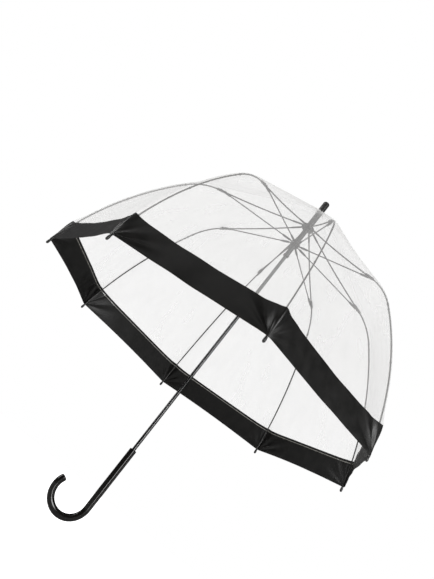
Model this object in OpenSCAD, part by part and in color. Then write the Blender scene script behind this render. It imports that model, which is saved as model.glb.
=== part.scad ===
// Stick umbrella with a clear dome canopy, shown open.
// +Z runs up the shaft to the ferrule, +X points away from the hook of the handle.
// The origin is on the shaft's axis, level with the lowest point of the hook. Millimetres.
// Rib 1 lies over the hook, at -X, and the others follow it anticlockwise, seen from above.

/* [Overall] */
// Height of the ferrule's tip above the lowest point of the hook
total_l = 930; // [880:1:960]

/* [Handle] */
// Diameter of the handle, the same all along the hook
handle_d = 15; // [13:0.5:18]
// Radius of the hook's centreline
hook_r = 39.5; // [32:0.5:46]
// Angle through which the hook turns
hook_turn = 205; // [180:1:215]
// Length of the straight grip above the hook
grip_l = 142; // [120:1:165]
// Length of the rounded end of the hook
hook_end_l = 5; // [4:0.5:7]
// Rounding of the end of the hook
hook_end_r = 4; // [2:0.5:4]
// Depth of the shaft's socket in the grip
socket_l = 76; // [50:1:100]

/* [Shaft] */
// Outer diameter of the shaft
shaft_d = 8; // [7:0.5:10]
// Wall thickness of the shaft
shaft_wall = 0.6; // [0.5:0.1:1]

/* [Ferrule] */
// Diameter of the ferrule
ferrule_d = 16; // [13:0.5:18]
// Length of the ferrule above the canopy
ferrule_l = 32; // [26:1:40]
// Diameter of the spacer tube under it
base_d = 15; // [12:0.5:15.5]
// Rounding of the ferrule's tip
ferrule_end_r = 5; // [2:0.5:6]
// How far the shaft reaches into the ferrule
ferrule_socket_l = 18; // [12:1:22]
// Diameter of the washer under the canopy's apex
washer_d = 24; // [20:0.5:28]
// Thickness of that washer
washer_t = 1; // [0.6:0.1:1.5]
// Distance from the ferrule down to the washer
washer_drop = 3.6; // [3:0.1:5]

/* [Crown] */
// Distance from the ferrule's tip down to the ribs' hinges
crown_drop = 88; // [80:1:110]
// Radius of the ring of wire that the ribs hinge on
crown_ring_r = 12.5; // [11.5:0.1:14]
// Diameter of the notched crown
crown_d = 31; // [29:0.5:34]
// Thickness of the crown
crown_t = 7; // [6:0.5:9]
// Diameter of the hinge wire and of the hinge pins
wire_d = 1.2; // [1:0.1:1.4]
// Outer diameter of the sleeve that stops the runner under the crown
stop_d = 12.5; // [11:0.5:14]
// Length of that sleeve
stop_l = 31; // [20:1:34]

/* [Runner] */
// Distance from the ribs' hinges down to the stretchers' when the umbrella is open
runner_drop = 56; // [50:1:72]
// Distance of those hinges from the shaft's axis
runner_pin_r = 8.5; // [8.2:0.1:10]
// Diameter of the runner's notched hub
hub_d = 22.5; // [22:0.5:26]
// Thickness of that hub
hub_t = 9; // [8:0.5:11]
// Outer diameter of the runner's sleeve
sleeve_d = 11.6; // [11:0.2:12]
// Length of the sleeve below the hinges
sleeve_l = 39.5; // [30:0.5:50]
// Length of the sleeve above the hinges
collar_l = 20; // [12:1:20]
// Diameter of the rim at the sleeve's lower end
rim_d = 14; // [13:0.5:16]
// Height of that rim
rim_l = 5; // [3:0.5:8]

/* [Ribs] */
// Number of ribs
ribs = 8; // [8]
// Diameter of a rib
rib_d = 3; // [2.6:0.1:3]
// Length of a rib from its hinge to its stretcher's joint
rib_inner_l = 217; // [200:1:240]
// Length of the shoulder, from there to the joint in the rib
rib_shoulder_l = 86; // [60:1:100]
// Length of the lower rib, from that joint to its tip
rib_lower_l = 344; // [320:1:380]
// Slope of the rib at the crown, in degrees below level
slope_crown = 24; // [18:1:28]
// Its slope at the stretcher's joint
slope_joint = 17.5; // [14:0.5:22]
// Its slope at the joint in the rib
slope_shoulder = 53; // [45:1:58]
// Its slope at the tip
slope_tip = 81; // [76:1:88]
// Diameter of the cap on a rib's tip
cap_d = 4.6; // [4:0.2:5]
// Length of that cap
cap_l = 13; // [10:0.5:16]
// Diameter of the metal sleeve at the hinge end of a rib
rib_sleeve_d = 4.2; // [3.6:0.2:4.4]
// Length of the metal sleeves of ribs and stretchers
end_sleeve_l = 24; // [16:1:30]
// Length of the block that holds the stretcher's joint on a rib
block_l = 24; // [16:1:28]
// Height of that block
block_h = 4.4; // [4:0.2:5]

/* [Stretchers] */
// Diameter of a stretcher
stretcher_d = 2.6; // [2.2:0.1:2.8]
// Sideways distance from a rib to its stretcher
stretcher_side = 3.6; // [3.5:0.1:4]
// Diameter of the metal sleeves at a stretcher's ends
stretcher_sleeve_d = 3.4; // [3:0.2:3.4]
// Distance from the shaft's axis to the stretchers' joints when closed
closed_joint_r = 40; // [34:1:46]
// Distance from the shaft's axis to the ribs' tips when closed
closed_tip_r = 16; // [12:1:24]

/* [Canopy] */
// Distance from the ferrule's tip down to the canopy's apex
apex_drop = 32.2; // [26:0.1:40]
// Distance along a rib at which the canopy comes to lie on it
touch_l = 250; // [235:1:280]
// Distance between a rib's centreline and the canopy
canopy_gap = 3.2; // [3:0.1:4]
// Thickness of the clear film
film_t = 0.3; // [0.2:0.1:0.8]
// Thickness of the border band
band_t = 0.4; // [0.3:0.1:1]
// Width of the border band
band_w = 60; // [40:1:80]
// Length of rib that stands out below the canopy's rim
tip_out = 12; // [8:1:16]

/* [Catches] */
// Length of a catch's leaf
leaf_l = 26; // [20:1:32]
// Width of a catch's leaf
leaf_w = 2.4; // [2:0.1:2.8]
// Thickness of a catch's leaf
leaf_t = 0.6; // [0.4:0.1:0.8]
// How far a catch's nose stands out of the shaft
nose_out = 2.2; // [1.6:0.1:2.6]
// Height of a catch's nose
nose_h = 7; // [5:0.5:10]

/* [Fits] */
// Radial clearance of the runner on the shaft
slide_fit = 0.08; // [0.04:0.01:0.1]
// Radial clearance of a hinge's eye on its wire or pin
hinge_fit = 0.07; // [0.05:0.01:0.1]
// Gap on each side of an eye in its notch
notch_gap = 0.2; // [0.15:0.05:0.4]
// Gap between pieces that must not touch
free_gap = 0.4; // [0.3:0.1:0.8]

/* [Hidden] */
$fn = 48;
step = 360 / ribs;
half = step / 2;

// Colours of the finishes
black = "#17171a";
steel = "#3c3c3f";
bright = "#8d8f92";
clear = [0.9, 0.93, 0.95, 0.35];

// Heights along the shaft
crown_z = total_l - crown_drop;
runner_z = crown_z - runner_drop;
apex_z = total_l - apex_drop;
hook_z = hook_r + handle_d / 2;
grip_top_z = hook_z + grip_l;
ferrule_z = total_l - ferrule_l;
washer_z = ferrule_z - washer_drop - washer_t;
crown_top_z = crown_z + crown_t / 2;
stop_z = crown_z - crown_t / 2 - stop_l;
shaft_bottom_z = grip_top_z - socket_l;
shaft_top_z = ferrule_z + ferrule_socket_l;
runner_bottom_z = runner_z - sleeve_l;
runner_top_z = runner_z + collar_l;

// Eyes at the ends of ribs and stretchers
eye_t = 1.8;
tongue_t = eye_t - 0.2;
eye_r = 2.1;
wire_r = wire_d / 2;
eye_bore_r = wire_r + hinge_fit;
// How far the corners of the crown and of the hub reach from the hinges in them
crown_reach = norm([crown_d / 2 - crown_ring_r, crown_t / 2]) + free_gap;
hub_reach = norm([hub_d / 2 - runner_pin_r, hub_t / 2]) + free_gap;
notch_w = eye_t + 2 * notch_gap;
// Knuckle of the joint in a rib, in two halves side by side
knuckle_r = 2.2;
knuckle_t = 1.4;
knuckle_gap = 0.1;
// Side of a rib that faces its stretcher
block_side = stretcher_side - stretcher_sleeve_d / 2 - 0.3;

// The rib as arcs: length, slope at the start and slope at the end
rib_arcs = [
    [rib_inner_l, slope_crown, slope_joint],
    [rib_shoulder_l, slope_joint, slope_shoulder],
    [rib_lower_l, slope_shoulder, slope_tip],
];
rib_upper_l = rib_inner_l + rib_shoulder_l;
rib_l = rib_upper_l + rib_lower_l;

// Radius of an arc, above 0 where it bends down and below 0 where it bends up
function arc_r(arc) = arc[0] / (arc[2] - arc[1]) * 180 / PI;
// The first l millimetres of an arc
function cut_arc(arc, l) = [l, arc[1], arc[1] + (arc[2] - arc[1]) * l / arc[0]];
// Where an arc that starts at [r, z] ends
function arc_end(p, arc) = p + arc_r(arc) * [sin(arc[2]) - sin(arc[1]), cos(arc[2]) - cos(arc[1])];
// Radius, height and slope at a length along the rib
function rib_at(l, i = 0, p = [crown_ring_r, crown_z]) =
    l <= rib_arcs[i][0] || i == len(rib_arcs) - 1
        ? let (arc = cut_arc(rib_arcs[i], l)) concat(arc_end(p, arc), [arc[2]])
        : rib_at(l - rib_arcs[i][0], i + 1, arc_end(p, rib_arcs[i]));
// A point that lies out from the rib by a distance
function off_rib(l, out) = let (p = rib_at(l)) [p[0] + out * sin(p[2]), p[1] + out * cos(p[2])];

joint_p = rib_at(rib_inner_l);
knuckle_p = rib_at(rib_upper_l);
tip_p = rib_at(rib_l);
rim_l_on_rib = rib_l - tip_out;
band_l_on_rib = rim_l_on_rib - band_w;

// The stretcher, from its hinge on the runner to its joint on the rib
stretcher_rise = joint_p[1] - runner_z;
stretcher_reach = joint_p[0] - runner_pin_r;
stretcher_l = sqrt(pow(stretcher_rise, 2) + pow(stretcher_reach, 2));
stretcher_open = atan2(stretcher_reach, stretcher_rise);

// How far the runner slides down to close the umbrella
rib_reach_l = norm([joint_p[0] - crown_ring_r, joint_p[1] - crown_z]);
closed_joint_z = crown_z - sqrt(pow(rib_reach_l, 2) - pow(closed_joint_r - crown_ring_r, 2));
closed_runner_z = closed_joint_z - sqrt(pow(stretcher_l, 2) - pow(closed_joint_r - runner_pin_r, 2));
travel = runner_z - closed_runner_z;

// Turns a piece drawn in the XZ plane to rib n
module at_rib(n) {
    rotate([0, 0, 180 + step * (n - 1)]) children();
}

// Lays a cylinder along Y, from y = side for length t
module across(x, z, side, t, r) {
    translate([x, side, z]) rotate([-90, 0, 0]) cylinder(h = t, r = r);
}

// A straight rod in the XZ plane, from a point along a slope in degrees below level
module rod(p, slope, l, d) {
    translate([p[0], 0, p[1]]) rotate([0, 90 + slope, 0]) cylinder(h = l, d = d);
}

// A round bar along one arc of the rib
module bent_rod(p, arc, d) {
    r = arc_r(arc);
    first = r > 0 ? 90 - arc[2] : 270 - arc[1];
    translate([p[0] - r * sin(arc[1]), 0, p[1] - r * cos(arc[1])])
        rotate([0, -first, 0]) rotate([90, 0, 0])
            rotate_extrude(angle = abs(arc[2] - arc[1]), $fn = 720)
                translate([abs(r), 0]) circle(d = d, $fn = 24);
}

// A tube standing on z
module tube(z, h, d, bore) {
    translate([0, 0, z]) difference() {
        cylinder(h = h, d = d);
        translate([0, 0, -1]) cylinder(h = h + 2, d = bore);
    }
}

// Slot through the shaft for the nose of a catch
module nose_slot(z, h) {
    translate([-leaf_w / 2 - notch_gap, 0, z - notch_gap])
        cube([leaf_w + 2 * notch_gap, shaft_d, h + 2 * notch_gap]);
}

top_nose_z = runner_bottom_z - notch_gap;
bottom_nose_z = closed_runner_z + collar_l + notch_gap;

module shaft() {
    color(black) difference() {
        tube(shaft_bottom_z, shaft_top_z - shaft_bottom_z, shaft_d, shaft_d - 2 * shaft_wall);
        nose_slot(top_nose_z - nose_h, nose_h);
        nose_slot(bottom_nose_z, nose_h);
    }
}

module handle() {
    end = 180 - hook_turn;
    color(black) difference() {
        union() {
            translate([0, 0, hook_z - 0.5]) cylinder(h = grip_l - 0.3, d = handle_d);
            translate([0, 0, grip_top_z - 0.8]) cylinder(h = 0.8, d1 = handle_d, d2 = handle_d - 1.6);
            translate([-hook_r, 0, hook_z]) rotate([90, 0, 0]) rotate([0, 0, -hook_turn])
                rotate_extrude(angle = hook_turn, $fn = 120) translate([hook_r, 0]) circle(d = handle_d - 0.1);
            translate([-hook_r - hook_r * cos(end), 0, hook_z - hook_r * sin(end)]) rotate([0, -end, 0])
                translate([0, 0, -0.5]) hook_end();
        }
        translate([0, 0, shaft_bottom_z]) cylinder(h = socket_l + 1, d = shaft_d);
    }
}

// Rounded end of the hook, standing on z = 0
module hook_end() {
    rotate_extrude() union() {
        square([handle_d / 2, hook_end_l - hook_end_r]);
        square([handle_d / 2 - hook_end_r, hook_end_l]);
        intersection() {
            translate([handle_d / 2 - hook_end_r, hook_end_l - hook_end_r]) circle(r = hook_end_r);
            square([handle_d, hook_end_l]);
        }
    }
}

module ferrule() {
    color(black) difference() {
        rotate_extrude() union() {
            translate([0, ferrule_z]) square([ferrule_d / 2, ferrule_l - ferrule_end_r]);
            translate([0, ferrule_z]) square([ferrule_d / 2 - ferrule_end_r, ferrule_l]);
            intersection() {
                translate([ferrule_d / 2 - ferrule_end_r, total_l - ferrule_end_r]) circle(r = ferrule_end_r);
                translate([0, ferrule_z]) square([ferrule_d, ferrule_l]);
            }
        }
        translate([0, 0, ferrule_z - 1]) cylinder(h = ferrule_socket_l + 1, d = shaft_d);
    }
}

module ferrule_base() {
    color(steel) tube(crown_top_z, ferrule_z - crown_top_z, base_d, shaft_d);
}

module apex_washer() {
    color(clear) tube(washer_z, washer_t, washer_d, base_d);
}

// Notches for eyes that lie at x, from x = back outwards
module notches(back, side, z, h) {
    for (n = [1:ribs]) at_rib(n)
        translate([back, side - notch_w / 2, z]) cube([crown_d, notch_w, h]);
}

module crown() {
    color(steel) difference() {
        tube(crown_z - crown_t / 2, crown_t, crown_d, shaft_d);
        notches(crown_ring_r - eye_r - free_gap, 0, crown_z - crown_t, 2 * crown_t);
        translate([0, 0, crown_z]) crown_ring();
    }
}

module crown_ring() {
    rotate_extrude($fn = 96) translate([crown_ring_r, 0]) circle(d = wire_d, $fn = 24);
}

module crown_wire() {
    color(bright) translate([0, 0, crown_z]) crown_ring();
}

module stop_sleeve() {
    color(steel) tube(stop_z, stop_l, stop_d, shaft_d);
}

// Hinge pins of the stretchers, in the walls of the hub's notches
module hinge_pins() {
    l = notch_w + 2.2;
    for (n = [1:ribs]) at_rib(n)
        across(runner_pin_r, runner_z, stretcher_side - l / 2, l, wire_r);
}

module runner() {
    color(steel) difference() {
        union() {
            translate([0, 0, runner_bottom_z]) cylinder(h = runner_top_z - runner_bottom_z, d = sleeve_d);
            translate([0, 0, runner_bottom_z]) cylinder(h = rim_l, d = rim_d);
            translate([0, 0, runner_z - hub_t / 2]) cylinder(h = hub_t, d = hub_d);
        }
        translate([0, 0, runner_bottom_z - 1])
            cylinder(h = runner_top_z - runner_bottom_z + 2, d = shaft_d + 2 * slide_fit);
        notches(runner_pin_r - eye_r - notch_gap, stretcher_side, runner_z - hub_t, 2 * hub_t);
        hinge_pins();
    }
}

module stretcher_pins() {
    color(bright) hinge_pins();
}

// Leaf spring with a nose at the top, hinged at its lower end, in the YZ plane
module catch(z) {
    leaf_y = shaft_d / 2 - shaft_wall - leaf_t - 0.7;
    color(bright) difference() {
        union() {
            translate([-leaf_w / 2, leaf_y, z - leaf_l]) cube([leaf_w, leaf_t, leaf_l]);
            translate([-leaf_w / 2, leaf_y + leaf_t / 2, z - leaf_l]) rotate([0, 90, 0])
                cylinder(h = leaf_w, r = 0.7);
            translate([leaf_w / 2, 0, 0]) rotate([90, 0, -90]) linear_extrude(leaf_w)
                polygon([
                    [-leaf_y, z], [-shaft_d / 2 - nose_out, z],
                    [-shaft_d / 2 - nose_out, z - 1], [-leaf_y, z - nose_h],
                ]);
        }
        translate([-leaf_w, leaf_y + leaf_t / 2, z - leaf_l]) rotate([0, 90, 0])
            cylinder(h = 2 * leaf_w, r = 0.3);
    }
}

module top_catch() {
    catch(top_nose_z);
}

module bottom_catch() {
    translate([0, 0, bottom_nose_z]) mirror([0, 0, 1]) catch(0);
}

// Upper rib, from its hinge on the crown to its half of the joint in the rib
module rib_upper(n) {
    last = rib_at(rib_upper_l - knuckle_r - free_gap);
    color(black) at_rib(n) difference() {
        union() {
            difference() {
                union() {
                    bent_rod([crown_ring_r, crown_z], rib_arcs[0], rib_d);
                    bent_rod(joint_p, rib_arcs[1], rib_d);
                }
                across(crown_ring_r, crown_z, -rib_d, 2 * rib_d, crown_reach);
                across(knuckle_p[0], knuckle_p[1], -rib_d, 2 * rib_d, knuckle_r + free_gap);
            }
            across(crown_ring_r, crown_z, -eye_t / 2, eye_t, eye_r);
            lug([crown_ring_r, crown_z], slope_crown, 0, crown_reach + 1, -eye_t / 2, eye_t, rib_d * 0.9);
            rib_sleeve();
            joint_block();
            across(knuckle_p[0], knuckle_p[1], -knuckle_gap - knuckle_t, knuckle_t, knuckle_r);
            lug([last[0], last[1]], last[2], -2, knuckle_r + 2.2, -knuckle_gap - knuckle_t, knuckle_t, rib_d * 0.8);
        }
        across(crown_ring_r, crown_z, -rib_d, 2 * rib_d, eye_bore_r);
        across(knuckle_p[0], knuckle_p[1], -rib_d, 2 * rib_d, wire_r + hinge_fit);
    }
}

// A flat tongue in the XZ plane that runs along a slope from one length to another
module lug(p, slope, from, to, side, t, h) {
    translate([p[0], side, p[1]]) rotate([0, slope, 0]) translate([from, 0, -h / 2]) cube([to - from, t, h]);
}

// Metal sleeve over the hinge end of a rib
module rib_sleeve() {
    from = rib_at(crown_reach + 0.4);
    rod([from[0], from[1]], from[2], end_sleeve_l, rib_sleeve_d);
}

// Block that holds the stretcher's joint
module joint_block() {
    translate([joint_p[0], -rib_d / 2 - 0.7, joint_p[1]]) rotate([0, joint_p[2], 0])
        translate([-block_l * 0.6, 0, -block_h / 2]) cube([block_l, rib_d / 2 + 0.7 + block_side, block_h]);
}

// Lower rib, from its half of the joint to the cap on its tip
module rib_lower(n) {
    side = knuckle_gap;
    color(black) at_rib(n) {
        difference() {
            bent_rod(knuckle_p, rib_arcs[2], rib_d);
            across(knuckle_p[0], knuckle_p[1], -rib_d, 2 * rib_d, knuckle_r + free_gap);
        }
        across(knuckle_p[0], knuckle_p[1], side, knuckle_t, knuckle_r);
        across(knuckle_p[0], knuckle_p[1], -knuckle_gap - knuckle_t, knuckle_t + 2 * knuckle_gap, wire_r);
        lug([knuckle_p[0], knuckle_p[1]], slope_shoulder, 0, knuckle_r + 2, side, knuckle_t, rib_d * 0.8);
        rod([tip_p[0], tip_p[1]], tip_p[2] + 180, cap_l, cap_d);
        translate([tip_p[0], 0, tip_p[1]]) sphere(d = cap_d);
    }
}

// Stretcher, from its eye on the runner to its rivet beside the rib
module stretcher(n) {
    slope = stretcher_open - 90;
    color(black) at_rib(n) translate([0, stretcher_side, 0]) difference() {
        union() {
            stretcher_bar();
            lug([runner_pin_r, runner_z], slope, 0.4, hub_reach + 1, -tongue_t / 2, tongue_t, stretcher_d * 0.8);
            lug([runner_pin_r, runner_z], slope, stretcher_l - 2 * eye_r, stretcher_l - 0.4, -tongue_t / 2,
                tongue_t, stretcher_d * 0.8);
            across(runner_pin_r, runner_z, -eye_t / 2, eye_t, eye_r);
            across(joint_p[0], joint_p[1], -eye_t / 2, eye_t, eye_r + 0.3);
            across(joint_p[0], joint_p[1], -stretcher_sleeve_d / 2, stretcher_sleeve_d, eye_r * 0.7);
        }
        across(runner_pin_r, runner_z, -eye_t, 2 * eye_t, eye_bore_r);
    }
}

// Rod of a stretcher with the sleeves over its ends
module stretcher_bar() {
    to = stretcher_l - 1.5 * eye_r;
    bar_r = stretcher_d / 2;
    sleeve_r = stretcher_sleeve_d / 2;
    translate([runner_pin_r, 0, runner_z]) rotate([0, stretcher_open, 0]) rotate_extrude() polygon([
        [0, hub_reach], [sleeve_r, hub_reach], [sleeve_r, end_sleeve_l], [bar_r, end_sleeve_l],
        [bar_r, stretcher_l - end_sleeve_l], [sleeve_r, stretcher_l - end_sleeve_l],
        [sleeve_r, to], [0, to],
    ]);
}

// Slab between ribs n and n + 1 whose section across the shaft is straight
module gore(n, outline) {
    reach = rib_l;
    rotate([0, 0, 180 + step * (n - 1) + half]) intersection() {
        rotate([90, 0, 0]) linear_extrude(height = reach, center = true)
            polygon([for (p = outline) [p[0] * cos(half), p[1]]]);
        translate([free_gap / 2 / sin(half), 0, 0]) linear_extrude(height = total_l)
            polygon([[0, 0], [reach, -reach * tan(half)], [reach, reach * tan(half)]]);
    }
}

// Outline of a strip of canopy along the rib, with its thickness outwards
function strip(from, to, t, pieces) = concat(
    [for (i = [0:pieces]) off_rib(from + (to - from) * i / pieces, canopy_gap + t)],
    [for (i = [pieces:-1:0]) off_rib(from + (to - from) * i / pieces, canopy_gap)]
);

apex_r = (base_d / 2 + free_gap) / cos(half);

module canopy_top(n) {
    cut = rib_upper_l - free_gap / 2;
    under = film_t / cos(slope_joint + half / 2);
    color(clear) gore(n, concat(
        [[apex_r, apex_z - under], [apex_r, apex_z]],
        strip(touch_l, cut, film_t, 5)
    ));
}

module canopy_wall(n) {
    color(clear) gore(n, strip(rib_upper_l + free_gap / 2, band_l_on_rib, film_t, 10));
}

module border_band(n) {
    color(black) gore(n, strip(band_l_on_rib, rim_l_on_rib, band_t, 4));
}

shaft();
handle();
ferrule();
ferrule_base();
apex_washer();
crown();
crown_wire();
stop_sleeve();
runner();
stretcher_pins();
top_catch();
bottom_catch();
for (n = [1:ribs]) {
    rib_upper(n);
    rib_lower(n);
    stretcher(n);
    canopy_top(n);
    canopy_wall(n);
    border_band(n);
}
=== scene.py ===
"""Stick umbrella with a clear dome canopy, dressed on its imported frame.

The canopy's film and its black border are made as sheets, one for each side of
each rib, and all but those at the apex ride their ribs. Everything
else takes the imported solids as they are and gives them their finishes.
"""

import logging
import math
import random
from dataclasses import dataclass, field
from enum import Enum
from typing import Iterable, Sequence

import bpy
from mathutils import Matrix, Vector


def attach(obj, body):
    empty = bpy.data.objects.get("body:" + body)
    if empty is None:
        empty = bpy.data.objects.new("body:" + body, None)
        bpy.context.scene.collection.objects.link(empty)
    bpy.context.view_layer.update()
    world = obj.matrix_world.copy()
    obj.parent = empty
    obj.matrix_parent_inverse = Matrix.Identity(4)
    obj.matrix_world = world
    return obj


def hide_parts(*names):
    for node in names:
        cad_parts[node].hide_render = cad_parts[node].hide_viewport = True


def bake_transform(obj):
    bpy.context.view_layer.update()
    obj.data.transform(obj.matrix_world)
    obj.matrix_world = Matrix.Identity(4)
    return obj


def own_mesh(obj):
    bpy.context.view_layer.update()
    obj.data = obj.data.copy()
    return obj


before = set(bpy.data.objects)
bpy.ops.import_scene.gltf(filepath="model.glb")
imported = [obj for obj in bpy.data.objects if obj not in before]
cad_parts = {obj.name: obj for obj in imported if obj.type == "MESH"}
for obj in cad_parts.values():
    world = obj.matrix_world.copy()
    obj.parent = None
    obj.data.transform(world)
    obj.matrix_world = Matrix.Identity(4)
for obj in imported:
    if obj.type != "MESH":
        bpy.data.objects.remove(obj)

LOG = logging.getLogger("umbrella")
MM = 0.001


# ---------------------------------------------------------------- finishes


def linear(colour: str) -> tuple[float, float, float, float]:
    """Turns an sRGB hex colour into the linear values that shaders take.

    Args:
        colour: six hex digits, with or without a leading hash.

    Returns:
        Red, green, blue and an alpha of 1.
    """
    digits = colour.lstrip("#")
    parts = [int(digits[i:i + 2], 16) / 255 for i in (0, 2, 4)]
    lin = [p / 12.92 if p <= 0.04045 else ((p + 0.055) / 1.055) ** 2.4 for p in parts]
    return (lin[0], lin[1], lin[2], 1.0)


def add(tree: bpy.types.NodeTree, kind: str, values: dict | None = None,
        links: dict | None = None, **settings: object) -> bpy.types.Node:
    """Adds one node with its settings and links.

    Args:
        tree: the node tree to add to.
        kind: the node's class name.
        values: values for its input sockets, by name or number.
        links: output sockets to link in, by the input's name or number.
        settings: properties of the node itself.

    Returns:
        The new node.
    """
    node = tree.nodes.new(kind)
    for name, value in settings.items():
        setattr(node, name, value)
    for name, value in (values or {}).items():
        node.inputs[name].default_value = value
    for name, source in (links or {}).items():
        tree.links.new(source, node.inputs[name])
    return node


def blank(name: str) -> bpy.types.Material:
    """Makes a material with an empty node tree.

    Args:
        name: the material's name.

    Returns:
        The new material.
    """
    material = bpy.data.materials.new(name)
    material.use_nodes = True
    material.node_tree.nodes.clear()
    return material


def ramp(tree: bpy.types.NodeTree, source: bpy.types.NodeSocket,
         stops: Sequence[tuple[float, str]]) -> bpy.types.Node:
    """Adds a colour ramp.

    Args:
        tree: the node tree to add to.
        source: the value that drives the ramp.
        stops: positions from 0 to 1 with their hex colours.

    Returns:
        The ramp node.
    """
    node = add(tree, "ShaderNodeValToRGB", links={"Fac": source})
    points = node.color_ramp.elements
    while len(points) < len(stops):
        points.new(0.5)
    for point, (place, colour) in zip(points, stops):
        point.position = place
        point.color = linear(colour)
    return node


@dataclass(frozen=True)
class Finish:
    """A solid finish with fine relief and small changes of colour.

    dark and light are the ends of its colour, grain_mm the size of its relief,
    stretch how many times longer the grain runs along the shaft than across it.
    """

    name: str
    dark: str
    light: str
    roughness: tuple[float, float]
    grain_mm: float
    relief_mm: float
    ior: float = 1.5
    metallic: float = 0.0
    coat: float = 0.0
    coat_roughness: float = 0.05
    specular: float = 0.5
    stretch: float = 1.0
    scratch_mm: float = 9.0

    def build(self) -> bpy.types.Material:
        """Makes the material, once for the whole scene."""
        if self.name in bpy.data.materials:
            return bpy.data.materials[self.name]
        material = blank(self.name)
        tree = material.node_tree
        place = add(tree, "ShaderNodeTexCoord").outputs["Object"]
        grained = add(tree, "ShaderNodeMapping", {"Scale": (1, 1, 1 / self.stretch)},
                      {"Vector": place})
        grain = add(tree, "ShaderNodeTexNoise",
                    {"Scale": 1000 / self.grain_mm, "Detail": 4.0, "Roughness": 0.55},
                    {"Vector": grained.outputs["Vector"]})
        wear = add(tree, "ShaderNodeTexNoise",
                   {"Scale": 1000 / self.scratch_mm, "Detail": 5.0, "Roughness": 0.6},
                   {"Vector": place})
        tint = ramp(tree, wear.outputs["Fac"], ((0.3, self.dark), (0.72, self.light)))
        gloss = add(tree, "ShaderNodeMapRange",
                    {"From Min": 0.3, "From Max": 0.7, "To Min": self.roughness[0],
                     "To Max": self.roughness[1]}, {"Value": wear.outputs["Fac"]})
        bump = add(tree, "ShaderNodeBump", {"Strength": 0.6, "Distance": self.relief_mm * MM},
                   {"Height": grain.outputs["Fac"]})
        values = {"Metallic": self.metallic, "Coat Weight": self.coat,
                  "Coat Roughness": self.coat_roughness}
        if self.metallic < 1:
            values["IOR"] = self.ior
            values["Specular IOR Level"] = self.specular
        shader = add(tree, "ShaderNodeBsdfPrincipled", values,
                     {"Base Color": tint.outputs["Color"], "Roughness": gloss.outputs["Result"],
                      "Normal": bump.outputs["Normal"]})
        add(tree, "ShaderNodeOutputMaterial", links={"Surface": shader.outputs["BSDF"]})
        return material


# Black ABS, moulded and polished: deep black with long, sharp highlights.
HANDLE_ABS = Finish("abs_black_polished", "#080705", "#0d0b09", (0.12, 0.2), 0.9, 0.004,
                    specular=0.2, scratch_mm=14)
# Steel tube under stoved black lacquer: mirror-like, with very faint drawn lines.
SHAFT_LACQUER = Finish("lacquered_steel_tube", "#060606", "#0c0c0c", (0.14, 0.22), 0.5, 0.002,
                       specular=0.5, stretch=40)
# Black acetal, moulded: satin, slightly greyer, with a soft broad sheen.
HUB_ACETAL = Finish("acetal_black_moulded", "#121212", "#1b1b1a", (0.36, 0.48), 0.35, 0.01,
                    specular=0.3)
# Black acetal turned and lightly polished: the same resin with a tighter sheen.
FERRULE_ACETAL = Finish("acetal_black_turned", "#151412", "#1f1e1c", (0.28, 0.36), 0.4, 0.008,
                        specular=0.35)
# Pultruded glass fibre in black resin: fine fibres run along the rod.
RIB_GLASS_FIBRE = Finish("glass_fibre_black_pultruded", "#131312", "#22211f", (0.26, 0.4), 0.25,
                         0.012, specular=0.45)
# Steel wire with a black powder coat: satin, with a faint orange-peel.
STRETCHER_COAT = Finish("powder_coated_steel_wire", "#151515", "#222222", (0.3, 0.42), 0.5,
                        0.01, specular=0.45)
# Spring steel, rolled and ground bright: a grey metal with soft streaks.
SPRING_STEEL = Finish("spring_steel_ground", "#8b8c8f", "#a3a4a6", (0.24, 0.38), 0.3, 0.006,
                      metallic=1.0, stretch=20)


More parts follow.
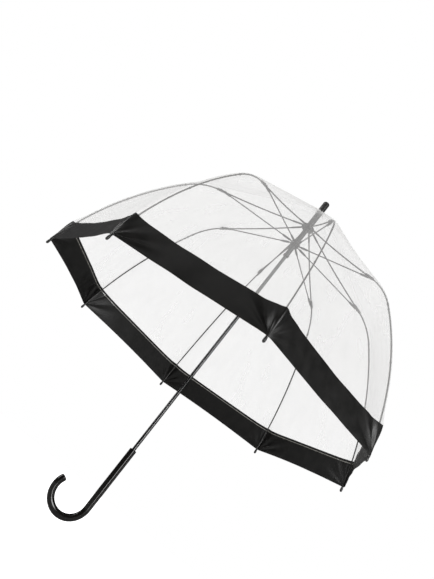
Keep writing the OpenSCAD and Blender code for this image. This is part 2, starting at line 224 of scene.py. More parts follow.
@dataclass(frozen=True)
class ClearFilm:
    """Clear soft PVC film, calendered: see-through with a milky veil and soft glints.

    veil is how much of the light behind is hidden face on, and rim_veil how much at
    a glancing angle. wrinkle_mm is the width of the faint tension lines in it,
    cloud_mm that of its slow changes of tint.
    """

    name: str = "pvc_film_clear_calendered"
    body: str = "#dbdad9"
    haze: str = "#e5e4e3"
    veil: float = 0.3
    rim_veil: float = 0.5
    wrinkle_mm: float = 22.0
    cloud_mm: float = 111.0

    def build(self) -> bpy.types.Material:
        """Makes the material, once for the whole scene."""
        if self.name in bpy.data.materials:
            return bpy.data.materials[self.name]
        material = blank(self.name)
        tree = material.node_tree
        flat = add(tree, "ShaderNodeTexCoord").outputs["UV"]
        along = add(tree, "ShaderNodeMapping", {"Scale": (1.0, 0.22, 1.0)}, {"Vector": flat})
        waves = add(tree, "ShaderNodeTexNoise",
                    {"Scale": 1000 / self.wrinkle_mm, "Detail": 1.0, "Roughness": 0.4},
                    {"Vector": along.outputs["Vector"]})
        clouds = add(tree, "ShaderNodeTexNoise", {"Scale": 1000 / self.cloud_mm, "Detail": 4.0},
                     {"Vector": flat})
        tint = ramp(tree, clouds.outputs["Fac"], ((0.3, self.body), (0.75, self.haze)))
        glance = add(tree, "ShaderNodeLayerWeight", {"Blend": 0.5})
        streaks = add(tree, "ShaderNodeMapRange",
                      {"From Min": 0.35, "From Max": 0.75, "To Min": self.veil - 0.012,
                       "To Max": self.veil + 0.02}, {"Value": waves.outputs["Fac"]})
        edge = add(tree, "ShaderNodeMapRange",
                   {"From Min": 0.62, "From Max": 0.97, "To Min": 0.0,
                    "To Max": self.rim_veil - self.veil},
                   {"Value": glance.outputs["Facing"]}, interpolation_type="SMOOTHSTEP")
        alpha = add(tree, "ShaderNodeMath", links={0: streaks.outputs["Result"],
                                                   1: edge.outputs["Result"]}, operation="ADD")
        bump = add(tree, "ShaderNodeBump", {"Strength": 0.12, "Distance": 0.3 * MM},
                   {"Height": waves.outputs["Fac"]})
        shader = add(tree, "ShaderNodeBsdfPrincipled",
                     {"Roughness": 0.32, "IOR": 1.53, "Specular IOR Level": 0.02},
                     {"Base Color": tint.outputs["Color"], "Alpha": alpha.outputs["Value"],
                      "Normal": bump.outputs["Normal"]})
        add(tree, "ShaderNodeOutputMaterial", links={"Surface": shader.outputs["BSDF"]})
        return material


@dataclass(frozen=True)
class BorderFilm:
    """Black soft PVC film, embossed satin: near black with a broad grey sheen.

    grain_mm is the pitch of its fine embossing, drawn three times as coarse as the
    real one so that it still breaks up the sheen, and pull_mm the width of the
    tension lines across it.
    """

    name: str = "pvc_film_black_satin"
    dark: str = "#0c0c0b"
    light: str = "#131211"
    grain_mm: float = 0.8
    pull_mm: float = 22.0

    def build(self) -> bpy.types.Material:
        """Makes the material, once for the whole scene."""
        if self.name in bpy.data.materials:
            return bpy.data.materials[self.name]
        material = blank(self.name)
        tree = material.node_tree
        flat = add(tree, "ShaderNodeTexCoord").outputs["UV"]
        emboss = add(tree, "ShaderNodeTexVoronoi", {"Scale": 1000 / self.grain_mm},
                     {"Vector": flat}, feature="SMOOTH_F1")
        pulls = add(tree, "ShaderNodeTexNoise",
                    {"Scale": 1000 / self.pull_mm, "Detail": 3.0, "Roughness": 0.5,
                     "Distortion": 0.4}, {"Vector": flat})
        tint = ramp(tree, pulls.outputs["Fac"], ((0.3, self.dark), (0.75, self.light)))
        gloss = add(tree, "ShaderNodeMapRange",
                    {"From Min": 0.3, "From Max": 0.7, "To Min": 0.34, "To Max": 0.42},
                    {"Value": pulls.outputs["Fac"]})
        soft = add(tree, "ShaderNodeBump", {"Strength": 0.5, "Distance": 0.5 * MM},
                   {"Height": pulls.outputs["Fac"]})
        fine = add(tree, "ShaderNodeBump", {"Strength": 0.35, "Distance": 0.03 * MM},
                   {"Height": emboss.outputs["Distance"], "Normal": soft.outputs["Normal"]})
        shader = add(tree, "ShaderNodeBsdfPrincipled",
                     {"IOR": 1.53, "Specular IOR Level": 0.12},
                     {"Base Color": tint.outputs["Color"], "Roughness": gloss.outputs["Result"],
                      "Normal": fine.outputs["Normal"]})
        add(tree, "ShaderNodeOutputMaterial", links={"Surface": shader.outputs["BSDF"]})
        return material


# Heat-welded film edge on the border's inside: a thin light-grey line painted over the
# black, a painted highlight for the glint of the clear film's cut edge along the weld.
WELD_PAINTED_HIGHLIGHT = Finish("pvc_weld_painted_highlight", "#77756f", "#a3a19a", (0.18, 0.3), 0.6, 0.01,
                   coat=0.4, specular=0.6)
CLEAR_FILM = ClearFilm()
BORDER_FILM = BorderFilm()


# ---------------------------------------------------------------- the canopy's shape


def smooth(value: float, start: float, width: float) -> float:
    """Rises softly from 0 to 1.

    Args:
        value: where to read it.
        start: where it leaves 0.
        width: how far on it reaches 1.

    Returns:
        The height there, from 0 to 1.
    """
    share = min(1.0, max(0.0, (value - start) / width))
    return share * share * (3 - 2 * share)


@dataclass
class RibLine:
    """The line of an open rib, as arcs that run on from each other, in millimetres.

    Each arc is its length, its slope at the start and its slope at the end, in
    degrees below level.
    """

    ring_r: float = 12.5
    crown_z: float = 842.0
    arcs: tuple[tuple[float, float, float], ...] = (
        (217.0, 24.0, 17.5), (86.0, 17.5, 53.0), (344.0, 53.0, 81.0))

    @property
    def knee(self) -> float:
        """Length along the rib to the joint in it."""
        return self.arcs[0][0] + self.arcs[1][0]

    @property
    def tip(self) -> float:
        """Length along the rib to its tip."""
        return self.knee + self.arcs[2][0]

    def at(self, length: float) -> tuple[float, float, float]:
        """Follows the rib.

        Args:
            length: millimetres along the rib from its hinge on the crown.

        Returns:
            Radius, height and slope in radians there.
        """
        r, z = self.ring_r, self.crown_z
        left = length
        for i, (size, first, last) in enumerate(self.arcs):
            part = min(left, size) if i < len(self.arcs) - 1 else left
            a, turn = math.radians(first), math.radians(last - first) / size
            b = a + turn * part
            r += (math.sin(b) - math.sin(a)) / turn
            z += (math.cos(b) - math.cos(a)) / turn
            left -= part
            if left <= 0:
                break
        return r, z, b


class Corner(Enum):
    """How the border is gathered at one side of a rib: direction, width and depth of
    each crease, in degrees up from the rim, degrees, and millimetres out."""

    FAN = ((14, 7, -0.8), (30, 7, 1.2), (46, 7, -2.0), (60, 6, 1.4), (72, 5.5, -1.6))
    DEEP = ((20, 9, 0.7), (37, 6, 1.8), (56, 10, -7.5), (74, 5, 2.2))
    SWEPT = ((8, 5, -1.2), (17, 5, 2.4), (28, 7, -2.6), (44, 6, 1.0), (60, 7, -1.4))
    TUCKED = ((30, 8, -1.4), (50, 7, 2.6), (64, 6, -3.2), (76, 5, 1.6))


@dataclass
class Folds:
    """Creases that fan out from a corner of the border, for one side of one rib.

    start, rise and fade are the distances from the corner at which the creases
    begin, how far on they are at full depth, and how far they carry, in millimetres.
    """

    seed: int
    corner: Corner
    start: float = 3.0
    rise: float = 30.0
    fade: float = 66.0
    creases: list[tuple[float, float, float]] = field(default_factory=list)

    def __post_init__(self) -> None:
        """Draws this corner's creases from its own seed."""
        dice = random.Random(self.seed)
        loose = 1.0 if self.corner is Corner.FAN else 0.25
        strength = 1 + loose * dice.uniform(-0.3, 0.3)
        for angle, width, depth in self.corner.value:
            self.creases.append((math.radians(angle + loose * dice.uniform(-5, 5)),
                                 math.radians(width),
                                 depth * strength * (1 + loose * dice.uniform(-0.3, 0.2))))

    def lift(self, up: float, across: float) -> float:
        """Height of the creases at a point.

        Args:
            up: millimetres up from the rim.
            across: millimetres from the rib.

        Returns:
            Millimetres out from the smooth surface.
        """
        reach = math.hypot(up, across)
        if reach < 1e-6:
            return 0.0
        angle = math.atan2(max(up, 0.0), across)
        fade = smooth(reach, self.start, self.rise) * math.exp(-(reach / self.fade) ** 2)
        total = sum(d * math.exp(-((angle - a) / w) ** 2) for a, w, d in self.creases)
        return total * fade


@dataclass
class Panel:
    """One sheet of the canopy: its name, its rows along the rib and its fineness."""

    kind: str
    node: str
    levels: list[float]
    columns: int

    @property
    def first(self) -> float:
        """Length along the rib at which the sheet starts."""
        return self.levels[0]

    @property
    def last(self) -> float:
        """Length along the rib at which the sheet ends."""
        return self.levels[-1]


def steps(first: float, last: float, pitch: float) -> list[float]:
    """Even steps from one length to just before another.

    Args:
        first: the first length.
        last: the length to stop before.
        pitch: about how far apart they are.

    Returns:
        The lengths.
    """
    count = max(1, round((last - first) / pitch))
    return [first + (last - first) * i / count for i in range(count)]


@dataclass
class Canopy:
    """The clear dome and its black border, as sheets on both sides of each rib.

    Sizes are in millimetres. gap is the distance of the film from the rib's middle,
    apex_r and apex_z the film's edge at the ferrule, touch where the film meets the
    rib's line, bow the share of a gore's width by which it is pulled in, ridge how far
    the film is eased over a rib. border is the strip's width, rim_out the bare end of
    the rib, rim_lift and border_dip the curves of the strip's two edges, border_in how
    far its inner face lies inside the film, hem the film's overlap with it, weld and
    weld_w the place and width of the weld line. pleat is the depth of the tuck over a
    rib and pleat_w its width, tuck_start and tuck_end where it opens and closes above
    the rim and over what length. wave is the depth of the film's slow waves and
    wave_low what is added to it lower than about calm_up above the rim. fold_reach is
    how far up the folds reach, gather how far from the apex the film is gathered and
    gather_d how deep. keep is the share of a sheet's width that would be left when it
    is folded; it is not used.
    """

    rib: RibLine = field(default_factory=RibLine)
    ribs: int = 8
    gap: float = 2.7
    apex_r: float = 8.5
    apex_z: float = 897.6
    touch: float = 250.0
    apex_end: float = 26.0
    border: float = 62.0
    rim_out: float = 10.0
    weld: float = 5.6
    bow: float = 0.022
    ridge: float = 6.5
    rim_lift: float = 3.0
    border_dip: float = 3.5
    border_t: float = 0.5
    border_in: float = 0.25
    hem: float = 8.6
    weld_w: float = 1.2
    dip_w: float = 22.0
    pleat: float = 4.4
    pleat_w: float = 9.5
    tuck_start: tuple[float, float] = (10.0, 46.0)
    tuck_end: tuple[float, float] = (60.0, 34.0)
    wave: float = 0.25
    wave_low: float = 0.55
    calm_up: float = 130.0
    calm_w: float = 28.0
    fold_reach: float = 170.0
    gather: float = 170.0
    gather_d: float = 1.1
    keep: float = 0.045

    def __post_init__(self) -> None:
        """Works out the levels of the canopy and each corner's folds."""
        self.half = math.pi / self.ribs
        self.rim = self.rib.tip - self.rim_out
        self.border_top = self.rim - self.border
        gathered = {(2, -1): Corner.DEEP, (1, 1): Corner.SWEPT, (3, -1): Corner.TUCKED,
                    (7, 1): Corner.TUCKED, (5, -1): Corner.SWEPT}
        self.folds = {(n, side): Folds(17 * n + 5 * side, gathered.get((n, side), Corner.FAN))
                      for n in range(self.ribs) for side in (-1, 1)}
        dice = random.Random(41)
        self.waves = [[(dice.uniform(0, math.tau), dice.uniform(0.7, 1.3)) for _ in range(3)]
                      for _ in range(self.ribs)]

    def line(self, length: float) -> tuple[float, float, float]:
        """Follows the film's edge over a rib.

        Args:
            length: millimetres along the rib, 0 at the apex.

        Returns:
            Radius, height and slope in radians of the film there.
        """
        def off(at: float) -> tuple[float, float, float]:
            """Radius, height and slope of the film where it lies along the rib."""
            r, z, slope = self.rib.at(at)
            return r + self.gap * math.sin(slope), z + self.gap * math.cos(slope), slope

        if length >= self.touch:
            return off(length)
        r, z, _ = off(self.touch)
        share = length / self.touch
        slope = math.atan2(self.apex_z - z, r - self.apex_r)
        return (self.apex_r + (r - self.apex_r) * share,
                self.apex_z + (z - self.apex_z) * share, slope)

    def half_width(self, r: float) -> tuple[float, float]:
        """Width of half a gore at a radius.

        Args:
            r: radius of the rib's line.

        Returns:
            Distance from the rib to the gore's middle, and how much its ridge is eased.
        """
        ease = min(self.ridge, 0.14 * r)
        sine, cosine, tan = math.sin(self.half), math.cos(self.half), math.tan(self.half)
        x = r * sine
        for _ in range(6):
            x = tan * (r - sine * (math.hypot(x, ease) - ease)) / cosine
        return x, ease

    def point(self, n: int, side: int, length: float, share: float, out: float) -> Vector:
        """A point of the canopy's surface.

        Args:
            n: the rib's number, from 0.
            side: 1 for the gore that follows the rib, -1 for the one before it.
            length: millimetres along the rib.
            share: 0 on the rib to 1 in the middle of the gore.
            out: millimetres out from the film.

        Returns:
            The point in the umbrella's frame, in millimetres.
        """
        r, z, slope = self.line(length)
        width, ease = self.half_width(r)
        x = share * width
        y_r = r - math.sin(self.half) * (math.hypot(x, ease) - ease)
        y_t = side * math.cos(self.half) * x
        hollow = (1 - (1 - share) ** 2) * x * x / (x * x + (3 * ease) ** 2 + 1e-9)
        depth = -self.bow * 2 * width * hollow
        up = self.rim - length
        gore = (n if side > 0 else n - 1) % self.ribs
        across = share / 2 if side > 0 else 1 - share / 2
        calm = math.sin(math.pi * across) ** 2
        low = 1 / (1 + math.exp((up - self.calm_up) / self.calm_w))
        depth += calm * (self.wave + self.wave_low * low) * sum(
            amount * 0.5 * math.sin(math.tau * (k + 2) * across + turn + length / (34 + 9 * k))
            for k, (turn, amount) in enumerate(self.waves[gore]))
        if length < self.gather:
            depth += self.gather_d * calm * (1 - length / self.gather) * math.sin(
                math.tau * 3 * across + gore)
        if up < self.fold_reach:
            depth += self.folds[(n, side)].lift(up, x)
            depth += (self.pleat * math.exp(-(x / self.pleat_w) ** 2)
                      * smooth(up, *self.tuck_start) * (1 - smooth(up, *self.tuck_end)))
        depth += out
        middle = self.half * side * share
        n_r, n_t = math.sin(slope) * math.cos(middle), math.sin(slope) * math.sin(middle)
        y_r += depth * n_r
        y_t += depth * n_t
        z += depth * math.cos(slope)
        azimuth = math.pi + 2 * self.half * n
        cosine, sine = math.cos(azimuth), math.sin(azimuth)
        return Vector((y_r * cosine - y_t * sine, y_r * sine + y_t * cosine, z))

    def span(self, panel: Panel, length: float, share: float) -> float:
        """Length along the rib of a row, with the curves of the border's two edges.

        Args:
            panel: the sheet.
            length: the row's length on the rib.
            share: 0 on the rib to 1 in the middle of the gore.

        Returns:
            The length there, in millimetres.
        """
        if panel.kind == "border":
            row = (length - panel.first) / (panel.last - panel.first)
            width, _ = self.half_width(self.line(length)[0])
            x = share * width
            rise = self.rim_lift * (1 - (1 - share) ** 2)
            dip = self.border_dip * (1 - math.exp(-x / self.dip_w))
            length += dip * (1 - row) - rise * row
        return length

    def grid(self, panel: Panel, n: int, side: int, out: float
             ) -> tuple[list[Vector], list[Vector], list[tuple[float, float]]]:
        """Points, outward normals and flat coordinates of a panel, row by row.

        Args:
            panel: the sheet.
            n: the rib's number, from 0.
            side: which side of the rib.
            out: millimetres out from the film.

        Returns:
            Three lists of the same length, in metres.
        """
        points, normals, flats = [], [], []
        for level in panel.levels:
            for j in range(panel.columns + 1):
                share = (j / panel.columns) ** 1.25
                length = self.span(panel, level, share)
                here = self.point(n, side, length, share, out)
                near = 0.004 if share < 0.5 else -0.004
                along = self.point(n, side, length + 0.05, share, out) - here
                across = (self.point(n, side, length, share + near, out) - here) / near
                normal = across.cross(along) * side
                normal.normalize()
                if normal.dot(Vector((here.x, here.y, 60))) < 0:
                    normal = -normal
                points.append(here * MM)
                normals.append(normal)
                width, _ = self.half_width(self.line(length)[0])
                flats.append((side * share * width * MM, length * MM))
        return points, normals, flats

    def sheet_mesh(self, panel: Panel, n: int, side: int, name: str) -> bpy.types.Object:
        """Builds one sheet of the canopy.

        Args:
            panel: the sheet's level and fineness.
            n: the rib's number, from 0.
            side: which side of the rib.
            name: the piece's name.

        Returns:
            The new object, with its place in its mesh.
        """
        thick = panel.kind == "border"
        outer = self.border_t - self.border_in if thick else 0.0
        points, normals, flats = self.grid(panel, n, side, outer)
        columns, rows = panel.columns + 1, len(panel.levels) - 1
        faces, slots = [], []

        def quad(a: int, b: int, c: int, d: int, slot: int = 0) -> None:
            """Adds a face that looks outward on either side of the rib."""
            faces.append((a, b, c, d) if side > 0 else (d, c, b, a))
            slots.append(slot)

        for i in range(rows):
            for j in range(panel.columns):
                a = i * columns + j
                quad(a, a + columns, a + columns + 1, a + 1)
        if thick:
            base = len(points)
            inner, _, more = self.grid(panel, n, side, -self.border_in)
            points += inner
            normals += [-v for v in normals[:base]]
            flats += more
            for i in range(rows):
                # The weld row on the inner face takes the second slot: a light-grey painted
                # highlight along the weld.
                weld = 1 if abs(panel.levels[i] - panel.first - self.weld) < 0.01 else 0
                for j in range(panel.columns):
                    a = base + i * columns + j
                    quad(a, a + 1, a + columns + 1, a + columns, weld)
            last = rows * columns
            for j in range(panel.columns):
                quad(j, j + 1, base + j + 1, base + j)
                quad(last + j, base + last + j, base + last + j + 1, last + j + 1)
            for i in range(rows):
                a, b = i * columns, (i + 1) * columns
                quad(a, base + a, base + b, b)
                a, b = a + columns - 1, b + columns - 1
                quad(a, b, base + b, base + a)
        mesh = bpy.data.meshes.new(name)
        mesh.from_pydata([tuple(p) for p in points], [], faces)
        mesh.polygons.foreach_set("use_smooth", [True] * len(faces))
        mesh.polygons.foreach_set("material_index", slots)
        layer = mesh.uv_layers.new(name="flat")
        for loop in mesh.loops:
            layer.data[loop.index].uv = flats[loop.vertex_index]
        mesh.validate()
        mesh.normals_split_custom_set_from_vertices([tuple(v) for v in normals])
        piece = bpy.data.objects.new(name, mesh)
        bpy.context.scene.collection.objects.link(piece)
        if thick:
            mesh.materials.append(BORDER_FILM.build())
            mesh.materials.append(WELD_PAINTED_HIGHLIGHT.build())
        else:
            mesh.materials.append(CLEAR_FILM.build())
        return piece

    def flatten(self, piece: bpy.types.Object, panel: Panel, n: int, side: int) -> None:
        """Gives a sheet its own mesh; its line along the rib is worked out but not used.

        Args:
            piece: the sheet.
            panel: its level.
            n: the rib's number, from 0.
            side: which side of the rib.
        """
        top = self.point(n, side, panel.first, 0.0, 0.0)
        end = self.point(n, side, panel.last, 0.0, 0.0)
        chord = (end - top).normalized()
        toward = self.point(n, side, panel.last, 1.0, 0.0) - end
        toward -= toward.dot(chord) * chord
        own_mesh(piece)

    def cut(self, panel: Panel) -> tuple[tuple[float, float], float]:
        """Flat size of a sheet before it was stretched over the ribs.

        Args:
            panel: the sheet's level.

        Returns:
            Its width and length in metres, and its area in square metres.
        """
        widths = [self.half_width(self.line(level)[0])[0] for level in panel.levels]
        lengths = [math.dist(self.line(a)[:2], self.line(b)[:2])
                   for a, b in zip(panel.levels, panel.levels[1:])]
        area = sum(l * (a + b) / 2 for l, a, b in zip(lengths, widths, widths[1:]))
        return (max(widths) * MM, sum(lengths) * MM), area * MM * MM

    def build(self) -> None:
        knee, top = self.rib.knee, self.border_top
        hem = [top, top + 1.4, top + 2.8, top + 4.2, top + self.weld,
               top + self.weld + self.weld_w, top + self.hem]
        panels = [
            Panel("apex", "canopy_top", steps(0.0, self.apex_end, 3) + [self.apex_end], 10),
            Panel("top", "canopy_top", steps(self.apex_end, knee, 6) + [knee], 24),
            Panel("wall", "canopy_wall", steps(knee, top - 60, 6) + steps(top - 60, top, 3) + hem,
                  60),
            Panel("border", "border_band",
                  hem + steps(top + self.hem, self.rim, 2.4)[1:] + [self.rim], 60),
        ]
        for panel in panels:
            size, area = self.cut(panel)
            for n in range(self.ribs):
                for side in (-1, 1):
                    name = f"film_{panel.kind}_{n + 1}_{'a' if side > 0 else 'b'}"
                    piece = self.sheet_mesh(panel, n, side, name)
                    gore = (n if side > 0 else n - 1) % self.ribs + 1
                    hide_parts(f"{panel.node}_{gore}")
                    upper = panel.kind in ("apex", "top")
                    body = f"rib_upper_{n + 1}" if upper else f"rib_lower_{n + 1}"
                    if panel.kind == "apex":
                        start = self.point(n, side, 0.0, 0.0, 0.0) * MM
                        end = self.point(n, side, self.apex_end, 0.0, 0.0) * MM
                        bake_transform(piece)
                    else:
                        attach(piece, body)
                        self.flatten(piece, panel, n, side)
            LOG.info("%s: %d sheets of %.0f x %.0f mm", panel.kind, 2 * self.ribs,
                     *(x / MM for x in size))


# ---------------------------------------------------------------- moulded fittings


def turned_piece(name: str, profile: Sequence[tuple[float, float]], bevel: float,
                 finish: Finish) -> bpy.types.Object:
    """Turns one round fitting along Z from its profile.

    Args:
        name: the piece's name.
        profile: heights and radii in millimetres, from the lower end up.
        bevel: width of its rounded edges in millimetres.
        finish: its finish.

    Returns:
        The fitting, standing at the origin.
    """
    bpy.ops.object.select_all(action="DESELECT")
    bpy.ops.mesh.primitive_circle_add(vertices=28, radius=profile[0][1] * MM, fill_type="NGON",
                                      location=(0, 0, profile[0][0] * MM))
    piece = bpy.context.object
    piece.name = name
    bpy.ops.object.transform_apply(location=True, rotation=True, scale=True)
    bpy.ops.object.mode_set(mode="EDIT")
    bpy.ops.mesh.select_all(action="SELECT")
    for (low, narrow), (high, wide) in zip(profile, profile[1:]):
        bpy.ops.mesh.extrude_region_move(
            TRANSFORM_OT_translate={"value": (0, 0, (high - low) * MM)})
        bpy.ops.transform.resize(value=(wide / narrow, wide / narrow, 1),
                                 center_override=(0, 0, high * MM))
    bpy.ops.mesh.select_all(action="SELECT")
    bpy.ops.mesh.normals_make_consistent(inside=False)
    bpy.ops.object.mode_set(mode="OBJECT")
    edge = piece.modifiers.new("rounded", "BEVEL")
    edge.width, edge.segments, edge.limit_method = bevel * MM, 3, "ANGLE"
    edge.angle_limit = math.radians(28)
    bpy.ops.object.modifier_apply(modifier=edge.name)
    bpy.ops.object.shade_smooth_by_angle(angle=math.radians(40))
    piece.data.materials.append(finish.build())
    return piece


@dataclass
class Fittings:
    """Moulded ends on the ribs and stretchers, in millimetres.

    pivot is the stretcher's joint on the rib and hinge its pin on the runner, as
    radius and height; side is how far the stretchers stand beside their ribs.
    """

    rib: RibLine = field(default_factory=RibLine)
    ribs: int = 8
    pivot: tuple[float, float] = (215.3, 765.2)
    hinge: tuple[float, float] = (8.5, 786.0)
    side: float = 3.6
    cap_l: float = 11.0
    cap_r: float = 2.9
    grip_l: float = 22.0
    grip_r: float = 2.5

    def place(self, n: int, r: float, z: float, slope: float, side: float = 0.0) -> Matrix:
        """Where a fitting goes on a rib.

        Args:
            n: the rib's number, from 0.
            r: its radius in millimetres.
            z: its height in millimetres.
            slope: the direction of its Z axis, in radians below level.
            side: millimetres beside the rib's plane.

        Returns:
            The matrix that puts it there.
        """
        spin = Matrix.Rotation(math.pi + math.tau * n / self.ribs, 4, "Z")
        tilt = Matrix.Rotation(math.pi / 2 + slope, 4, "Y")
        return spin @ Matrix.Translation(Vector((r, side, z)) * MM) @ tilt

    def hang(self, pattern: bpy.types.Object, name: str, matrix: Matrix, body: str) -> None:
        """Copies a fitting to its place with its own mesh and lets it ride a body.

        Args:
            pattern: the fitting to copy.
            name: the piece's name.
            matrix: its place.
            body: the body it rides.
        """
        piece = pattern.copy()
        piece.data = pattern.data.copy()
        piece.name = piece.data.name = name
        piece.data.transform(matrix)
        bpy.context.scene.collection.objects.link(piece)
        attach(piece, body)

    def build(self) -> None:
        """Makes the caps of the ribs, the sleeves of the stretchers and the ties."""
        cap = turned_piece("cap", ((0, 2.0), (1.6, self.cap_r * 0.86), (3.2, self.cap_r * 0.86),
                                   (3.8, self.cap_r), (self.cap_l - 1.4, self.cap_r),
                                   (self.cap_l, self.cap_r * 0.62)), 0.35, HUB_ACETAL)
        grip = turned_piece("grip", ((0, 1.5), (1.8, self.grip_r * 0.9), (2.4, self.grip_r),
                                     (self.grip_l - 4, self.grip_r),
                                     (self.grip_l, self.grip_r * 0.72)), 0.3, STRETCHER_COAT)
        tie = turned_piece("tie", ((0, 1.58), (0.3, 2.2), (1.9, 2.2), (2.2, 1.58)), 0.2,
                           HUB_ACETAL)
        (r0, z0), (r1, z1) = self.hinge, self.pivot
        span = math.hypot(r1 - r0, z1 - z0)
        slope = math.atan2(z0 - z1, r1 - r0)
        r_tip, z_tip, tip_slope = self.rib.at(self.rib.tip - self.cap_l + 1.2)
        for n in range(self.ribs):
            self.hang(cap, f"rib_cap_{n + 1}", self.place(n, r_tip, z_tip, tip_slope),
                      f"rib_lower_{n + 1}")
            for end, away in (("outer", span - 5.0 - self.grip_l), ("inner", 7.5)):
                share = away / span
                self.hang(grip, f"stretcher_grip_{end}_{n + 1}",
                          self.place(n, r0 + (r1 - r0) * share, z0 + (z1 - z0) * share, slope,
                                     self.side), f"stretcher_{n + 1}")
            for k, length in enumerate((self.rib.knee + 12.0, self.rib.knee + 140.0)):
                r, z, at = self.rib.at(length)
                self.hang(tie, f"rib_tie_{n + 1}_{k + 1}", self.place(n, r, z, at),
                          f"rib_lower_{n + 1}")
        for pattern in (cap, grip, tie):
            bpy.data.objects.remove(pattern, do_unlink=True)
        LOG.info("fittings: caps, grips and ties on %d ribs", self.ribs)


# ---------------------------------------------------------------- the frame's finishes


@dataclass
class FrameFinishes:
    """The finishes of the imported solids, by the start of their names."""

    finishes: dict[str, Finish | ClearFilm] = field(default_factory=lambda: {
        "shaft": SHAFT_LACQUER, "handle": HANDLE_ABS, "ferrule": FERRULE_ACETAL,
        "ferrule_base": HUB_ACETAL, "crown": HUB_ACETAL, "crown_wire": SPRING_STEEL,
        "stop_sleeve": HUB_ACETAL, "runner": HUB_ACETAL, "stretcher_pins": SPRING_STEEL,
        "top_catch": SPRING_STEEL, "bottom_catch": SPRING_STEEL,
        "rib_upper": RIB_GLASS_FIBRE, "rib_lower": RIB_GLASS_FIBRE,
        "stretcher": STRETCHER_COAT, "apex_washer": CLEAR_FILM})

    def finish_of(self, node: str) -> Finish | ClearFilm:
        """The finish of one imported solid.

        Args:
            node: the solid's name.

        Returns:
            Its finish, from the longest name that fits.
        """
        keys = [k for k in self.finishes if node == k or node.rsplit("_", 1)[0] == k]
        return self.finishes[max(keys, key=len)] if keys else HUB_ACETAL

    def build(self) -> None:
        """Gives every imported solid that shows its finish."""
        for name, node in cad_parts.items():
            if name.startswith(("canopy", "border")):
                continue
            material = self.finish_of(name).build()
            node.data.materials.clear()
            node.data.materials.append(material)
            LOG.info("%s: %s", name, material.name)


# ---------------------------------------------------------------- the studio


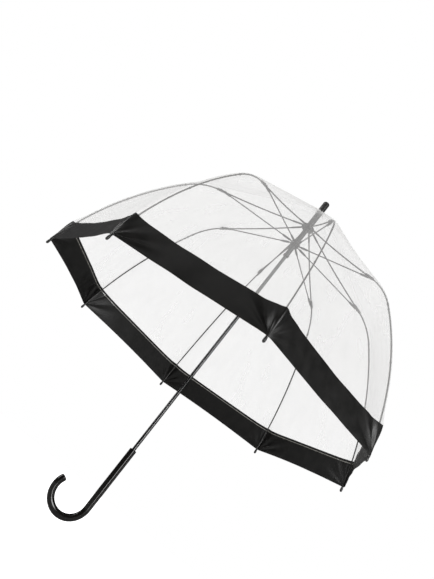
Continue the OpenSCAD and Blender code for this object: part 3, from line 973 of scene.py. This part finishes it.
@dataclass
class Studio:
    """A white room with soft lights, and the camera below the umbrella's rim.

    Lengths are in metres and angles in degrees.
    """

    eye: tuple[float, float, float] = (-0.1698, -1.3091, 0.0883)
    aim: tuple[float, float, float] = (-0.0755, 0.0, 0.5716)
    roll: float = 39.29
    lens: float = 38.78
    room: float = 0.5
    gleam: float = 0.13
    floor_z: float = -0.002
    floor_r: float = 14.0
    tooth_mm: float = 16.7

    def camera(self) -> None:
        """Places the camera and makes it the scene's own."""
        data = bpy.data.cameras.new("camera")
        data.sensor_fit = "AUTO"
        data.sensor_width = 36.0
        data.lens = self.lens
        data.clip_start, data.clip_end = 0.01, 60.0
        camera = bpy.data.objects.new("camera", data)
        bpy.context.scene.collection.objects.link(camera)
        look = (Vector(self.aim) - Vector(self.eye)).to_track_quat("-Z", "Y")
        turn = look.to_matrix() @ Matrix.Rotation(math.radians(self.roll), 3, "Z")
        camera.matrix_world = Matrix.Translation(self.eye) @ turn.to_4x4()
        bpy.context.scene.camera = camera

    def world(self) -> None:
        """A white backdrop whose light on the object is that of a dimmer room."""
        world = bpy.data.worlds.new("room")
        bpy.context.scene.world = world
        world.use_nodes = True
        tree = world.node_tree
        tree.nodes.clear()
        path = add(tree, "ShaderNodeLightPath")
        around = add(tree, "ShaderNodeMapRange", {"To Min": self.room, "To Max": self.gleam},
                     {"Value": path.outputs["Is Glossy Ray"]})
        strength = add(tree, "ShaderNodeMapRange", {"To Max": 1.0},
                       {"Value": path.outputs["Is Camera Ray"],
                        "To Min": around.outputs["Result"]})
        light = add(tree, "ShaderNodeBackground", {"Color": linear("#ffffff")},
                    {"Strength": strength.outputs["Result"]})
        add(tree, "ShaderNodeOutputWorld", links={"Surface": light.outputs["Background"]})

    def floor(self) -> None:
        """A wide, pale floor that meets the backdrop without a line."""
        bpy.ops.mesh.primitive_circle_add(vertices=96, radius=self.floor_r, fill_type="NGON",
                                          location=(0, 0, self.floor_z))
        floor = bpy.context.object
        floor.name = "studio_floor"
        bpy.ops.object.transform_apply(location=True, rotation=True, scale=True)
        # White paper sweep: matt, with a faint tooth and no shine. The tooth is drawn
        # coarser than real paper's, which would be too fine to show.
        material = blank("paper_white_floor")
        tree = material.node_tree
        place = add(tree, "ShaderNodeTexCoord").outputs["Object"]
        tooth = add(tree, "ShaderNodeTexNoise", {"Scale": 1000 / self.tooth_mm, "Detail": 4.0},
                    {"Vector": place})
        bump = add(tree, "ShaderNodeBump", {"Strength": 0.05, "Distance": 0.2 * MM},
                   {"Height": tooth.outputs["Fac"]})
        seen = add(tree, "ShaderNodeLightPath").outputs["Is Camera Ray"]
        glow = add(tree, "ShaderNodeMapRange", {"To Min": 0.3, "To Max": 1.0}, {"Value": seen})
        shader = add(tree, "ShaderNodeBsdfPrincipled",
                     {"Base Color": linear("#d8d8d8"), "Roughness": 0.9,
                      "Specular IOR Level": 0.0, "Emission Color": linear("#ffffff")},
                     {"Normal": bump.outputs["Normal"],
                      "Emission Strength": glow.outputs["Result"]})
        add(tree, "ShaderNodeOutputMaterial", links={"Surface": shader.outputs["BSDF"]})
        floor.data.materials.append(material)

    def lamp(self, name: str, place: Sequence[float], size: Sequence[float], power: float,
             gloss: bool = False) -> None:
        """Hangs one soft box that faces the umbrella.

        Args:
            name: the lamp's name.
            place: its middle, in metres.
            size: its width and height, in metres.
            power: its power in watts.
            gloss: True for a strip that only draws highlights, False for a soft light.
        """
        data = bpy.data.lights.new(name, "AREA")
        data.shape = "RECTANGLE"
        data.size, data.size_y = size
        data.energy = power
        lamp = bpy.data.objects.new(name, data)
        bpy.context.scene.collection.objects.link(lamp)
        turn = (Vector((0, 0, 0.5)) - Vector(place)).to_track_quat("-Z", "Y")
        lamp.matrix_world = Matrix.Translation(place) @ turn.to_matrix().to_4x4()
        lamp.visible_diffuse = not gloss
        lamp.visible_glossy = gloss

    def build(self) -> None:
        """Sets up the room, its lights and the camera."""
        self.camera()
        self.world()
        self.floor()
        self.lamp("key", (-2.0, -1.8, 2.4), (1.6, 1.6), 52.0)
        self.lamp("right", (2.6, -1.2, 1.4), (1.4, 1.4), 30.0)
        self.lamp("top", (0.5, 0.9, 3.2), (1.8, 1.8), 40.0)
        self.lamp("strip_front", (0.75, -2.05, 0.65), (0.5, 1.4), 50.0, gloss=True)
        self.lamp("strip_right", (2.0, -0.5, 0.5), (0.5, 1.6), 10.0, gloss=True)
        self.lamp("sheen_top", (-1.6, -1.4, 2.2), (1.3, 0.9), 6.0, gloss=True)
        self.lamp("sheen_front", (1.3, -2.2, 1.5), (0.5, 1.2), 55.0, gloss=True)
        self.lamp("sheen_left", (-2.4, 0.2, 1.4), (0.5, 1.6), 45.0, gloss=True)
        scene = bpy.context.scene
        scene.view_settings.view_transform = "Standard"
        scene.view_settings.look = "None"


def main() -> None:
    """Builds the umbrella piece by piece."""
    logging.basicConfig(level=logging.INFO, format="%(message)s")
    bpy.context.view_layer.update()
    bpy.ops.object.select_all(action="DESELECT")
    Studio().build()
    FrameFinishes().build()
    Fittings().build()
    Canopy().build()


if __name__ == "__main__":
    main()
